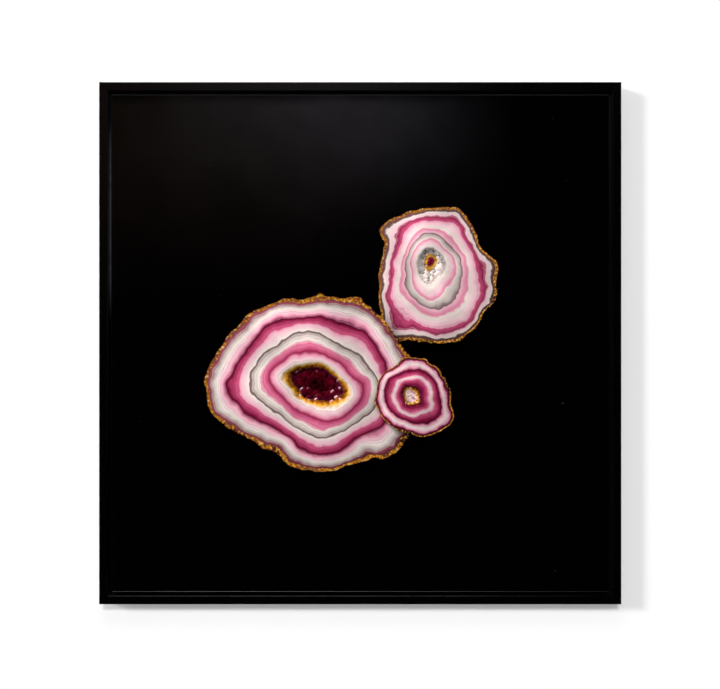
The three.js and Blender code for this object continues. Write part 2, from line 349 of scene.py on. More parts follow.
class GeometryWriter(NodeWriter):
    """Writes a Geometry Nodes tree that makes pieces at the points of a mesh."""

    def __init__(self, name: str, sizes: Mapping[str, float]) -> None:
        """Makes the tree and its inputs.

        Args:
            name: the tree's name.
            sizes: the names and values of its number inputs.
        """
        super().__init__(bpy.data.node_groups.new(name, "GeometryNodeTree"))
        self.sizes = sizes
        face = self.tree.interface
        face.new_socket("Places", in_out="INPUT", socket_type="NodeSocketGeometry")
        for size, value in sizes.items():
            kind = "NodeSocketInt" if isinstance(value, int) else "NodeSocketFloat"
            face.new_socket(size, in_out="INPUT", socket_type=kind).default_value = value
        face.new_socket("Finish", in_out="INPUT", socket_type="NodeSocketMaterial")
        face.new_socket("Pieces", in_out="OUTPUT", socket_type="NodeSocketGeometry")
        self.inputs = self.node("NodeGroupInput").outputs

    def drawn(
        self, mesh: Value, face: Value, distance: Value, share: Value, each: bool = True
    ) -> tuple[Socket, Socket]:
        """Draws faces out and scales them.

        Args:
            mesh: the mesh.
            face: which faces are drawn out.
            distance: how far.
            share: their new size, as a share of the old one.
            each: whether each face is drawn out by itself.

        Returns:
            The mesh, and which faces are at its new end.
        """
        inputs = {"Mesh": mesh, "Selection": face, "Offset Scale": distance, "Individual": each}
        out = self.node("GeometryNodeExtrudeMesh", inputs, mode="FACES").outputs
        inputs = {"Geometry": out["Mesh"], "Selection": out["Top"], "Scale": share}
        return self.out("GeometryNodeScaleElements", inputs, domain="FACE"), out["Top"]

    def smooth(self, mesh: Value, sharpest: float) -> Socket:
        """Shades a mesh smooth, but for its sharp edges.

        Args:
            mesh: the mesh.
            sharpest: the least angle in degrees between two faces whose edge stays sharp.

        Returns:
            The shaded mesh.
        """
        angle = self.node("GeometryNodeInputMeshEdgeAngle").outputs["Unsigned Angle"]
        sharp = self.math("GREATER_THAN", angle, math.radians(sharpest))
        whole = self.out("GeometryNodeSetShadeSmooth", {"Geometry": mesh}, domain="FACE")
        inputs = {"Geometry": whole, "Selection": sharp, "Shade Smooth": False}
        return self.out("GeometryNodeSetShadeSmooth", inputs, domain="EDGE")

    def finish(self, geometry: Value) -> None:
        """Ends the tree with real meshes in their material.

        Args:
            geometry: the pieces, which may be instances.
        """
        real = self.out("GeometryNodeRealizeInstances", {"Geometry": geometry})
        inputs = {"Geometry": real, "Material": self.inputs["Finish"]}
        self.node("NodeGroupOutput", {0: self.out("GeometryNodeSetMaterial", inputs)})

    def grow(self, name: str, places: Mesh, material: Material) -> Object:
        """Runs the tree and keeps its result as a plain mesh.

        Args:
            name: the new piece's name.
            places: the mesh that the tree starts from.
            material: the pieces' material.

        Returns:
            The piece.
        """
        seed = linked(f"{name}_places", places)
        modifier = seed.modifiers.new("Pieces", "NODES")
        modifier.node_group = self.tree
        sockets = [item for item in self.tree.interface.items_tree if item.in_out == "INPUT"]
        known = {socket.name: socket.identifier for socket in sockets}
        for size, value in {**self.sizes, "Finish": material}.items():
            modifier[known[size]] = value
        evaluated = seed.evaluated_get(bpy.context.evaluated_depsgraph_get())
        mesh = bpy.data.meshes.new_from_object(evaluated)
        bpy.data.objects.remove(seed)
        return linked(name, mesh)


# ---- Meshes ----


def linked(name: str, mesh: Mesh) -> Object:
    """Makes an object of a mesh.

    Args:
        name: the name of the object and its mesh.
        mesh: the mesh, in the shared frame.

    Returns:
        The object, at the origin.
    """
    mesh.name = name
    piece = bpy.data.objects.new(name, mesh)
    bpy.context.scene.collection.objects.link(piece)
    return piece


def mesh_of(
    name: str,
    points: Sequence[Vector],
    edges: Sequence[Sequence[int]] = (),
    faces: Sequence[Sequence[int]] = (),
) -> Mesh:
    """Makes a mesh.

    Args:
        name: the mesh's name.
        points: its vertices, in metres.
        edges: its loose edges, as pairs of vertex numbers.
        faces: its faces, as lists of vertex numbers.

    Returns:
        The mesh.
    """
    mesh = bpy.data.meshes.new(name)
    mesh.from_pydata([tuple(point) for point in points], edges, faces)
    return mesh


def merged_copy(node: Object, name: str) -> Object:
    """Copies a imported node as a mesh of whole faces.

    Args:
        node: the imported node.
        name: the copy's name.

    Returns:
        The copy.
    """
    body = bmesh.new()
    body.from_mesh(node.data)
    bmesh.ops.remove_doubles(body, verts=body.verts, dist=0.001 * MM)
    flat = math.radians(0.5)
    bmesh.ops.dissolve_limit(body, angle_limit=flat, verts=body.verts, edges=body.edges)
    mesh = bpy.data.meshes.new(name)
    body.to_mesh(mesh)
    body.free()
    return linked(name, mesh)


def ease(piece: Object, width: float, shortest: float = 0.0) -> None:
    """Takes the sharpness off a piece's edges, and shades it smooth.

    Args:
        piece: the piece.
        width: the width of the easing.
        shortest: the least length of an eased edge, which leaves out the rims of holes. An edge on a mitre
            is always eased.
    """
    sharp = math.radians(32)
    body = bmesh.new()
    body.from_mesh(piece.data)
    weights = body.edges.layers.float.new("bevel_weight_edge")
    for edge in body.edges:
        folded = len(edge.link_faces) == 2 and edge.calc_face_angle() > sharp
        mitred = all(abs(abs(end.co.x) - abs(end.co.z)) < 0.01 * MM for end in edge.verts)
        edge[weights] = float(folded and (mitred or edge.calc_length() >= shortest))
    body.to_mesh(piece.data)
    body.free()
    bevel = piece.modifiers.new("Eased edges", "BEVEL")
    bevel.width = width
    bevel.segments = 2
    bevel.limit_method = "WEIGHT"
    bevel.use_clamp_overlap = False
    piece.data.shade_smooth()
    piece.data.set_sharp_from_angle(angle=sharp)
    level = piece.modifiers.new("Level faces", "WEIGHTED_NORMAL")
    level.weight = 80
    level.keep_sharp = True


def dress(piece: Object, *materials: Material) -> None:
    """Puts materials in a piece's slots, in place of what it has.

    Args:
        piece: the piece; if it has no materials yet, its faces keep their slot numbers.
        materials: one material for each slot.
    """
    if piece.data.materials:
        piece.data.materials.clear()
    for material in materials:
        piece.data.materials.append(material)


def hand_over(piece: Object, body: str, stands_for: Sequence[str]) -> None:
    """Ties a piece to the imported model.

    Args:
        piece: the finished piece.
        body: the body that it moves with.
        stands_for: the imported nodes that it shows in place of.
    """
    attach(piece, body)
    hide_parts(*stands_for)
    LOG.info("%s: %d faces, for %s", piece.name, len(piece.data.polygons), ", ".join(stands_for))


# ---- Finishes ----


@dataclass(frozen=True)
class StainedTimber:
    """Timber stained black and lacquered, its grain faintly raised, its edges a little rubbed.

    Painted light in the gaps at the sides: a pale glow on a stretch at the left, a faint one at the right.
    """

    grain: Grain
    frame_side: float = 840 * MM
    face_width: float = 14 * MM
    ledge_front: float = -17 * MM
    grain_sizes: Point = (90 * MM, 2 * MM, 1.6 * MM)
    pore_sizes: Point = (14 * MM, 0.5 * MM, 0.45 * MM)
    relief: float = 0.04 * MM
    dark: Colour = (0.0002, 0.0002, 0.0002)
    light: Colour = (0.0010, 0.0005, 0.0004)
    bare: Colour = linear("3a2014")
    wear: float = 0.9 * MM
    wear_depth: Pair = (-39 * MM, -36 * MM)
    # Painted light in the side gaps: its colour, depth and reach onto the ledge, and where it lies.
    gap_glow: Colour = linear("565a61")
    gap_glow_depth: Pair = (-37 * MM, -35 * MM)
    gap_glow_on_ledge: Pair = (2.6 * MM, 1.2 * MM)
    stretch_bottom: Pair = (30 * MM, 130 * MM)
    stretch_top: Pair = (290 * MM, 370 * MM)
    right_glow: float = 0.085
    right_glow_height: Pair = (-100 * MM, 350 * MM)
    glow_patch_sizes: Point = (3 * MM, 3 * MM, 14 * MM)
    slack: float = 0.1 * MM

    def make(self) -> Material:
        """Returns the material."""
        w = ShaderWriter(f"stained timber, grain {self.grain.value}")
        place = w.place()
        grain = w.lumps(place, self.grain.turned(self.grain_sizes), detail=4, roughness=0.6)
        pores = w.lumps(place, self.grain.turned(self.pore_sizes), detail=2)
        patches = w.noise(place, scale=7, detail=3)
        stained = w.mix(w.span(grain, 0.35, 0.75), self.dark, self.light)
        rubbed = w.times(self.arrises(w, place), w.span(patches, 0.5, 0.72, (0.0, 0.5)))
        colour = w.mix(rubbed, stained, self.bare)
        # Painted light: a pale glow in the side gaps, where light falls in them.
        if self.grain is Grain.UPRIGHT:
            colour = w.mix(self.painted_gap_glow(w, place), colour, self.gap_glow)
        sheen = w.plus(w.span(grain, *NOISE, (0.13, 0.21)), w.span(patches, *NOISE, (-0.01, 0.04)))
        height = w.minus(w.times(grain, 0.5), w.span(pores, 0.62, 0.75))
        normal = w.bump(height, self.relief, 0.5)
        gloss = {"Roughness": sheen, "Specular_IOR_Level": 0.35, "Normal": normal}
        return w.finish(w.bsdf("Principled", Base_Color=colour, **gloss))

    def painted_gap_glow(self, w: ShaderWriter, place: Socket) -> Socket:
        """Finds the painted light in the gaps at the sides, a pale glow where light falls in them.

        Args:
            w: the material's writer.
            place: the point's place.

        Returns:
            A share from 0 to 1.
        """
        parts = w.parts(place)
        inner = self.frame_side / 2 - self.face_width
        far, near = self.gap_glow_on_ledge
        reach = w.math("ABSOLUTE", parts["X"])
        on_ledge = w.span(reach, inner - far, inner - near, (0.0, 0.5))
        beside = w.math("MAXIMUM", on_ledge, w.math("GREATER_THAN", reach, inner - self.slack))
        within = w.math("LESS_THAN", reach, inner + self.slack)
        before_ledge = w.math("LESS_THAN", parts["Y"], self.ledge_front + self.slack)
        deep = w.times(w.span(parts["Y"], *self.gap_glow_depth), before_ledge)
        # A painted glow on a stretch at the left, and a faint one at the right, strongest near the top.
        bottom = w.span(parts["Z"], *self.stretch_bottom, soft=True)
        top = w.span(parts["Z"], *self.stretch_top, FALL, soft=True)
        right_glow = w.span(parts["Z"], *self.right_glow_height, (0.5 * self.right_glow, self.right_glow))
        at_left = w.math("LESS_THAN", parts["X"], 0.0)
        thickness = w.plus(w.times(bottom, top, at_left), w.times(right_glow, w.minus(1.0, at_left)))
        glow_patches = w.lumps(place, self.glow_patch_sizes, detail=3)
        return w.times(beside, within, deep, thickness, w.span(glow_patches, 0.2, 0.6, (0.35, 1.0)))

    def arrises(self, w: ShaderWriter, place: Socket) -> Socket:
        """Finds the rounded front edges of the rails, where a hand or a cloth rubs.

        Args:
            w: the material's writer.
            place: the point's place.

        Returns:
            A share from 0 to 1, highest on the outer and the inner edge.
        """
        parts = w.parts(place)
        reach = w.math("MAXIMUM", w.math("ABSOLUTE", parts["X"]), w.math("ABSOLUTE", parts["Z"]))
        outer = self.frame_side / 2
        inner = outer - self.face_width
        at_outer = w.span(reach, outer - self.wear, outer, soft=True)
        at_inner = w.span(reach, inner, inner + self.wear, (0.6, 0.0), soft=True)
        front = w.span(parts["Y"], *self.wear_depth, FALL)
        return w.times(w.math("MAXIMUM", at_outer, at_inner), front)


@dataclass(frozen=True)
class BareTimber:
    """Planed softwood with growth rings, fine fibres and a few resin stains."""

    grain: Grain
    early: Colour = linear("d9b889")
    late: Colour = linear("a97a48")
    resin: Colour = linear("8a5a2c")
    ring: float = 3.2 * MM
    wander: float = 26 * MM
    wander_sizes: Point = (260 * MM, 40 * MM, 40 * MM)
    fibre_sizes: Point = (22 * MM, 0.5 * MM, 0.5 * MM)
    relief: float = 0.12 * MM

    def make(self) -> Material:
        """Returns the material."""
        w = ShaderWriter(f"bare timber, grain {self.grain.value}")
        place = w.place()
        parts = w.parts(place)
        across = parts["X" if self.grain is Grain.UPRIGHT else "Z"]
        bend = w.lumps(place, self.grain.turned(self.wander_sizes), detail=2)
        fibres = w.lumps(place, self.grain.turned(self.fibre_sizes), detail=3, roughness=0.65)
        level = w.plus(across, w.times(parts["Y"], 1.3), w.times(bend, self.wander))
        rings = w.span(w.math("SINE", w.times(level, 2 * math.pi / self.ring)), 0.1, 1.0)
        colour = w.mix(w.times(rings, 0.75), self.early, self.late)
        colour = w.scaled(colour, w.span(fibres, 0.25, 0.75, (0.86, 1.08)))
        stains = w.noise(place, scale=16, detail=3)
        colour = w.mix(w.span(stains, 0.66, 0.82, (0.0, 0.5)), colour, self.resin)
        normal = w.bump(w.plus(w.times(rings, 0.4), fibres), self.relief, 0.6)
        roughness = w.span(rings, 0.0, 1.0, (0.72, 0.55))
        return w.finish(w.bsdf("Principled", Base_Color=colour, Roughness=roughness, Normal=normal))


@dataclass(frozen=True)
class ClearAcrylic:
    """Clear cast sheet with a high gloss, a slight waviness, a few wiping smears and specks of lint."""

    tint: Colour = (0.985, 0.99, 0.99)
    refraction: float = 1.49
    smear_sizes: Point = (110 * MM, 110 * MM, 45 * MM)
    waviness: float = 1.2 * MM
    lint: Colour = linear("9a9792")
    speck: float = 0.5 * MM
    specks_per_metre: float = 9.0

    def make(self) -> Material:
        """Returns the material."""
        w = ShaderWriter("clear acrylic")
        place = w.place()
        smears = w.lumps(place, self.smear_sizes, detail=2)
        roughness = w.span(smears, 0.45, 0.75, (0.02, 0.045))
        normal = w.bump(w.noise(place, scale=9, detail=1), self.waviness, 0.35)
        shine = w.bsdf("Glossy", Roughness=roughness, Normal=normal)
        share = w.out("ShaderNodeFresnel", {"IOR": self.refraction})
        clean = w.blend(share, w.bsdf("Transparent", Color=self.tint), shine)
        return w.finish(w.blend(self.specks(w, place), clean, w.bsdf("Diffuse", Color=self.lint)))

    def specks(self, w: ShaderWriter, place: Socket) -> Socket:
        """Scatters specks of lint over the face.

        Args:
            w: the material's writer.
            place: the point's place.

        Returns:
            A share from 0 to 1.
        """
        parts = w.parts(place)
        inputs = {"Vector": w.joined(parts["X"], parts["Z"]), "Scale": self.specks_per_metre}
        cells = w.node("ShaderNodeTexVoronoi", inputs, voronoi_dimensions="2D").outputs
        chance = w.out("ShaderNodeSeparateColor", {0: cells["Color"]})
        size = w.span(chance, 0.5, 1.0, (0.0, self.speck * self.specks_per_metre))
        return w.times(w.math("LESS_THAN", cells["Distance"], size), 0.4)


@dataclass(frozen=True)
class BondedAcrylic:
    """The back of the clear sheet, where clear glue joins it to the print and leaves no shine."""

    tint: Colour = (0.985, 0.99, 0.99)
    cloudy: Colour = (0.97, 0.98, 0.98)

    def make(self) -> Material:
        """Returns the material."""
        w = ShaderWriter("bonded acrylic")
        glue = w.span(w.noise(w.place(), scale=30, detail=3), 0.4, 0.6)
        return w.finish(w.bsdf("Transparent", Color=w.mix(glue, self.tint, self.cloudy)))


@dataclass(frozen=True)
class AcrylicEdge:
    """The edge of the clear sheet, sawn or polished, which scatters the light that runs inside it."""

    name: str
    haze: Pair
    mark_sizes: Point = (0.8 * MM, 6 * MM, 0.8 * MM)
    tint: Colour = (0.97, 0.98, 0.98)
    scatter: Colour = linear("8d9092")
    shine: float = 0.05

    def make(self) -> Material:
        """Returns the material."""
        w = ShaderWriter(self.name)
        marks = w.lumps(w.place(), self.mark_sizes, detail=2)
        clear = w.bsdf("Transparent", Color=self.tint)
        glow = w.blend(0.5, *(w.bsdf(kind, Color=self.scatter) for kind in ("Translucent", "Diffuse")))
        inside = w.blend(w.span(marks, *NOISE, self.haze), clear, glow)
        gloss = w.bsdf("Glossy", Roughness=w.span(marks, *NOISE, (0.12, 0.25)))
        return w.finish(w.blend(self.shine, inside, gloss))


@dataclass(frozen=True)
class ScrapedArris:
    """Lower front arris of the clear sheet, scraped matt by hand, with painted light fading to the right.
    """

    tint: Colour = (0.97, 0.98, 0.98)
    scatter: Colour = linear("b2b4b6")
    mark_sizes: Point = (22 * MM, 2 * MM, 2 * MM)
    left_fade: Pair = (-480 * MM, -200 * MM)
    right_fade: Pair = (-230 * MM, 340 * MM)

    def make(self) -> Material:
        """Returns the material."""
        w = ShaderWriter("scraped acrylic arris")
        place = w.place()
        marks = w.lumps(place, self.mark_sizes, detail=3)
        x = w.parts(place)["X"]
        # Painted light: the scatter fades towards the ends, most to the right, as the light falls.
        left = w.span(x, *self.left_fade, (0.3, 1.0), soft=True)
        right = w.span(x, *self.right_fade, FALL)
        share = w.times(left, right, w.span(marks, *NOISE, (0.7, 1.0)))
        clear = w.bsdf("Transparent", Color=self.tint)
        return w.finish(w.blend(share, clear, w.bsdf("Diffuse", Color=self.scatter)))


IVORY = linear("efe6de")
BLUSH = linear("f3c6d2")
ROSE = linear("e58aa8")
PINK = linear("cf5a84")
MAGENTA = linear("93204a")
WINE = linear("4c0a22")
SHADE = linear("6a4a49")
SMOKE = linear("b9aba6")
CAVERN = linear("120304")
RUBY = linear("5e0518")
AMBER = linear("b4690f")
GOLD = linear("eeb63a")

ROSY_ZONES = (
    (0.00, CAVERN), (0.12, RUBY), (0.19, WINE), (0.22, AMBER), (0.245, GOLD), (0.27, IVORY),
    (0.33, BLUSH), (0.36, ROSE), (0.39, MAGENTA), (0.41, PINK), (0.47, ROSE), (0.50, IVORY),
    (0.56, SMOKE), (0.58, SHADE), (0.595, IVORY), (0.66, BLUSH), (0.70, PINK), (0.76, MAGENTA),
    (0.78, WINE), (0.795, ROSE), (0.84, BLUSH), (0.88, IVORY), (0.925, SMOKE), (0.94, MAGENTA),
    (0.955, SHADE), (1.00, WINE),
)  # fmt: skip
PALE_ZONES = (
    (0.00, RUBY), (0.07, MAGENTA), (0.11, GOLD), (0.13, AMBER), (0.15, IVORY), (0.26, SMOKE),
    (0.29, IVORY), (0.38, BLUSH), (0.42, ROSE), (0.44, IVORY), (0.52, SMOKE), (0.54, SHADE),
    (0.56, BLUSH), (0.63, ROSE), (0.67, IVORY), (0.77, BLUSH), (0.81, PINK), (0.86, MAGENTA),
    (0.88, BLUSH), (0.93, IVORY), (0.95, SHADE), (1.00, WINE),
)  # fmt: skip
DEEP_ZONES = (
    (0.00, IVORY), (0.13, BLUSH), (0.18, GOLD), (0.21, AMBER), (0.24, WINE), (0.32, MAGENTA),
    (0.40, PINK), (0.46, BLUSH), (0.50, IVORY), (0.55, PINK), (0.64, MAGENTA), (0.71, WINE),
    (0.74, ROSE), (0.80, IVORY), (0.86, BLUSH), (0.90, PINK), (0.94, WINE), (1.00, CAVERN),
)  # fmt: skip


@dataclass(frozen=True)
class AgateSlice:
    """A polished slice of banded stone in the printed design, its zones from the middle to the rim."""

    middle: Pair
    radius: float
    seed: float
    squeeze: float
    zones: Stops


class SlicePainter:
    """Paints a slice of stone, lit from the side.

    Each range is a stretch of the depth, from 0 in the middle of the slice to 1 at its rim.
    """

    CRYSTALS_END = (0.2, 0.3)
    HOLLOW_START = (0.1, 0.2)
    HOLLOW_END = (0.22, 0.32)
    RIM_START = (0.93, 0.985)
    GOLD_START = (0.962, 0.97)
    CUT = (0.996, 1.004)

    def __init__(self, w: ShaderWriter, flat: Socket, stone: AgateSlice, light: Point) -> None:
        """Measures how far out in the slice a point is, along the stone's wandering bands.

        Args:
            w: the material's writer.
            flat: the point's place on the print.
            stone: the slice.
            light: the way to the light.
        """
        self.w = w
        self.stone = stone
        self.light = light
        local = w.scaled(w.vector("SUBTRACT", flat, (*stone.middle, 0.0)), 1 / stone.radius)
        self.seeded = w.vector("ADD", local, (stone.seed, -stone.seed, stone.seed))
        sway = w.drift(self.seeded, scale=0.85, detail=1.0, reach=0.85)
        ripple = w.drift(self.seeded, scale=3.0, detail=2.0, reach=0.17)
        swayed = w.vector("ADD", w.vector("ADD", local, sway), ripple)
        self.bent = w.vector("MULTIPLY", swayed, (stone.squeeze, 1 / stone.squeeze, 0.0))
        self.radius = w.vector("LENGTH", self.bent)

    @cached_property
    def depth(self) -> Socket:
        """The radius with fine frills: 0 in the middle and 1 at the rim."""
        frill = self.w.times(self.w.minus(self.w.noise(self.seeded, 13, 2), 0.5), 0.035)
        return self.w.plus(self.radius, frill)

    def paint(self) -> tuple[Socket, Socket]:
        """Paints the slice.

        Returns:
            Its colour, and the share that is 1 inside it.
        """
        w = self.w
        uneven = w.minus(w.layers(self.depth, 26, 2, self.stone.seed), 0.5)
        colour = w.ramp(w.plus(self.depth, w.times(uneven, 0.055)), self.stone.zones)
        bands = w.layers(self.depth, 95, 3, 2 * self.stone.seed)
        colour = w.scaled(colour, w.span(bands, *NOISE, (0.8, 1.16)))
        clouds = w.noise(self.seeded, 2.2, 3)
        colour = w.scaled(colour, w.span(clouds, 0.3, 0.72, (0.8, 1.2)))
        colour = self.gilded(self.lit(self.broken(colour)))
        return colour, w.span(self.depth, *self.CUT, FALL)

    def broken(self, colour: Socket) -> Socket:
        """Breaks the middle of the slice up into crystals.

        Args:
            colour: the slice's colour.

        Returns:
            The new colour.
        """
        w = self.w
        cells = w.node("ShaderNodeTexVoronoi", {"Vector": self.seeded, "Scale": 26.0}).outputs
        away = w.vector("SUBTRACT", self.seeded, cells["Position"])
        facing = w.times(w.vector("DOT_PRODUCT", away, self.light), 16)
        chance = w.out("ShaderNodeSeparateColor", {0: cells["Color"]})
        facet = w.plus(w.span(chance, 0.0, 1.0, (0.3, 1.35)), facing)
        glint = w.times(w.span(chance, 0.86, 0.93), w.span(facing, 0.05, 0.3))
        crystals = w.mix(glint, w.scaled(colour, w.math("MAXIMUM", facet, 0.12)), BLUSH)
        return w.mix(w.span(self.depth, *self.CRYSTALS_END, FALL, soft=True), colour, crystals)

    def lit(self, colour: Socket) -> Socket:
        """Lights the slice: its hollow middle, its rim and a slow fall across it.

        Args:
            colour: the slice's colour.

        Returns:
            The new colour.
        """
        w = self.w
        toward = w.vector("DOT_PRODUCT", w.vector("NORMALIZE", self.bent), self.light)
        hollow_start = w.span(self.depth, *self.HOLLOW_START, soft=True)
        hollow_end = w.span(self.depth, *self.HOLLOW_END, FALL, soft=True)
        rim = w.span(self.depth, *self.RIM_START, soft=True)
        slope = w.minus(w.times(rim, 0.7), w.times(hollow_start, hollow_end, 0.75))
        fall = w.times(w.vector("DOT_PRODUCT", self.bent, self.light), 0.2)
        brightness = w.plus(w.times(slope, toward), fall, 1.05)
        return w.scaled(colour, w.math("MAXIMUM", brightness, 0.05))

    def gilded(self, colour: Socket) -> Socket:
        """Lays flakes of gold on the slice's rim.

        Args:
            colour: the slice's colour.

        Returns:
            The new colour.
        """
        w = self.w
        flakes = w.noise(self.seeded, 34, 3, 0.7)
        leaf = w.ramp(flakes, ((0.36, SHADE), (0.5, AMBER), (0.62, GOLD), (0.7, IVORY)))
        worn = w.span(w.plus(flakes, w.noise(self.seeded, 1.6, 2)), 0.86, 1.0)
        return w.mix(w.times(w.span(self.depth, *self.GOLD_START), worn), colour, leaf)


@dataclass(frozen=True)
class PrintedDesign:
    """The printed picture: three polished slices of banded agate on black, laid out on a diagonal."""

    ground: Colour = (0.0005, 0.0004, 0.0005)
    stones: tuple[AgateSlice, ...] = (
        AgateSlice((118 * MM, 112 * MM), 112 * MM, 3.7, 1.12, PALE_ZONES),
        AgateSlice((-70 * MM, -62 * MM), 160 * MM, 11.3, 0.92, ROSY_ZONES),
        AgateSlice((92 * MM, -88 * MM), 62 * MM, 23.9, 1.0, DEEP_ZONES),
    )
    light: Point = (-0.6, 0.8, 0.0)
    shadow: float = 9 * MM

    def make(self) -> Material:
        """Returns the material."""
        w = ShaderWriter("printed design")
        parts = w.parts(w.place())
        flat = w.joined(parts["X"], parts["Z"])
        shifted = w.vector("ADD", flat, tuple(self.shadow * part for part in self.light))
        colour: Value = self.ground
        for stone in self.stones:
            reach = SlicePainter(w, shifted, stone, self.light).radius
            shade = w.span(reach, 0.9, 1.12, (0.12, 1.0), soft=True)
            painted, inside = SlicePainter(w, flat, stone, self.light).paint()
            colour = w.mix(inside, w.scaled(colour, shade), painted)
        return w.finish(w.bsdf("Principled", Base_Color=colour, Roughness=0.6, Specular_IOR_Level=0.0))


@dataclass(frozen=True)
class RolledAluminium:
    """Mill-finish sheet with fine lines from the rolls and a few handling marks."""

    bright: Colour = linear("d9dbde")
    dull: Colour = linear("c2c4c8")
    line_sizes: Point = (0.7 * MM, 10 * MM, 180 * MM)
    scuff_sizes: Point = (35 * MM, 10 * MM, 2 * MM)
    relief: float = 0.02 * MM

    def make(self) -> Material:
        """Returns the material."""
        w = ShaderWriter("rolled aluminium")
        place = w.place()
        lines = w.lumps(place, self.line_sizes, detail=4, roughness=0.7)
        smudges = w.noise(place, scale=6, detail=5, roughness=0.6)
        scuffs = w.lumps(place, self.scuff_sizes, detail=3)
        shade = w.plus(w.times(lines, 0.6), w.times(smudges, 0.4))
        colour = w.mix(w.span(shade, *NOISE), self.dull, self.bright)
        gloss = w.plus(w.span(lines, *NOISE, (0.34, 0.4)), w.span(scuffs, 0.62, 0.75, (0.0, 0.08)))
        metal = {"Metallic": 1.0, "Roughness": gloss, "Normal": w.bump(lines, self.relief, 0.25)}
        return w.finish(w.bsdf("Principled", Base_Color=colour, **metal))


@dataclass(frozen=True)
class SawnCore:
    """The dark polymer core of the board, with the marks of the saw across its edge."""

    dark: Colour = linear("1c1d20")
    light: Colour = linear("3a3b40")
    mark_sizes: Point = (0.6 * MM, 8 * MM, 0.6 * MM)
    relief: float = 0.05 * MM

    def make(self) -> Material:
        """Returns the material."""
        w = ShaderWriter("sawn polymer core")
        marks = w.lumps(w.place(), self.mark_sizes, detail=3)
        colour = w.mix(w.span(marks, *NOISE), self.dark, self.light)
        normal = w.bump(marks, self.relief, 0.7)
        roughness = w.span(marks, *NOISE, (0.45, 0.65))
        return w.finish(w.bsdf("Principled", Base_Color=colour, Roughness=roughness, Normal=normal))


@dataclass(frozen=True)
class PlatedSteel:
    """Plated steel, mottled by its bath and lightly scratched."""

    name: str
    bright: Colour
    dull: Colour
    gloss: Pair
    scratch_sizes: Point = (0.15 * MM, 0.9 * MM, 2.5 * MM)
    relief: float = 0.01 * MM

    def make(self) -> Material:
        """Returns the material."""
        w = ShaderWriter(self.name)
        place = w.place()
        mottle = w.noise(place, scale=420, detail=3, roughness=0.6)
        scratches = w.lumps(place, self.scratch_sizes, detail=2)
        colour = w.mix(w.span(mottle, 0.3, 0.75), self.bright, self.dull)
        gloss = w.plus(w.span(mottle, 0.25, 0.8, self.gloss), w.span(scratches, 0.6, 0.75, (0.0, 0.1)))
        metal = {"Metallic": 1.0, "Roughness": gloss, "Normal": w.bump(scratches, self.relief, 0.5)}
        return w.finish(w.bsdf("Principled", Base_Color=colour, **metal))


@dataclass(frozen=True)
class PressedFelt:
    """Dense felt with stray fibres."""

    dark: Colour = linear("1b1a1a")
    light: Colour = linear("4b4847")
    fibre_sizes: Point = (0.25 * MM, 0.25 * MM, 1.1 * MM)
    curl: float = 1.2 * MM
    relief: float = 0.15 * MM

    def make(self) -> Material:
        """Returns the material."""
        w = ShaderWriter("pressed felt")
        place = w.place()
        bent = w.vector("ADD", place, w.drift(place, 900, 2, self.curl))
        fibres = w.lumps(bent, self.fibre_sizes, detail=3, roughness=0.7)
        colour = w.mix(w.span(fibres, 0.35, 0.72), self.dark, self.light)
        normal = w.bump(fibres, self.relief, 0.8)
        surface = {"Roughness": w.span(fibres, *NOISE, (0.85, 1.0)), "Sheen_Weight": 0.35}
        return w.finish(w.bsdf("Principled", Base_Color=colour, Normal=normal, **surface))


# ---- Sub-assemblies ----


@dataclass
class TimberSquare:
    """Four lengths of timber round a square."""

    nodes: Mapping[str, Object]
    node: str
    piece: str
    slot: str
    finish: type[StainedTimber] | type[BareTimber]
    easing: float
    shortest_eased: float = 12 * MM

    def build(self) -> None:
        """Makes the lengths, with their sharp edges eased so that the joints show as a fine line."""
        finishes = {grain: self.finish(grain).make() for grain in Grain}
        for side in RAILS:
            node = f"{self.node}_{side}"
            timber = merged_copy(self.nodes[node], f"{self.piece}_{side}")
            ease(timber, self.easing, self.shortest_eased)
            dress(timber, finishes[Grain.LEVEL if side in ("top", "bottom") else Grain.UPRIGHT])
            hand_over(timber, "frame", [node])


@dataclass
class TimberFrame(TimberSquare):
    """The four mitred rails."""

    node: str = "rail"
    piece: str = "timber"
    slot: str = "black_timber"
    finish: type[StainedTimber] = StainedTimber
    easing: float = 0.3 * MM


@dataclass
class Subframe(TimberSquare):
    """The battens behind the board."""

    node: str = "subframe"
    piece: str = "batten"
    slot: str = "raw_timber"
    finish: type[BareTimber] = BareTimber
    easing: float = 0.5 * MM


